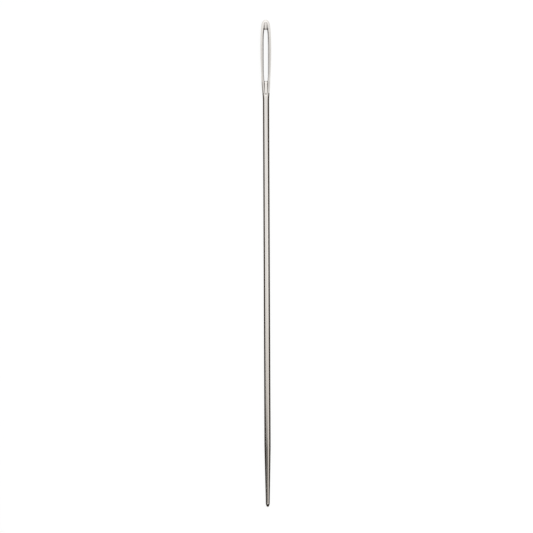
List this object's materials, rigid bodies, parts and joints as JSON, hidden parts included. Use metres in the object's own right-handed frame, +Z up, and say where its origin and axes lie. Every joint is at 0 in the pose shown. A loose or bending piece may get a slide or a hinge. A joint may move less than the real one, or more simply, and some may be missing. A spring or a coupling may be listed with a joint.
{
  "type": "yarn needle",
  "caption": "Long straight steel yarn needle with a round shank, a blunt tapered point and a flat head with a long gutter eye.",
  "frame": {"origin": "on the surface that the needle lies on, under the middle of its length", "axes": "+X along the needle from the point to the eye, +Y across the head to the left of the eye, +Z up, through the eye"},
  "size_m": [0.127, 0.0028, 0.0016],
  "materials": {
    "nickel_plate": "polished"
  },
  "bodies": {
    "root": {"point": "nickel_plate", "shank": "nickel_plate", "shoulder": "nickel_plate", "eye_side_left": "nickel_plate", "eye_side_right": "nickel_plate", "crown": "nickel_plate"}
  },
  "joints": []
}
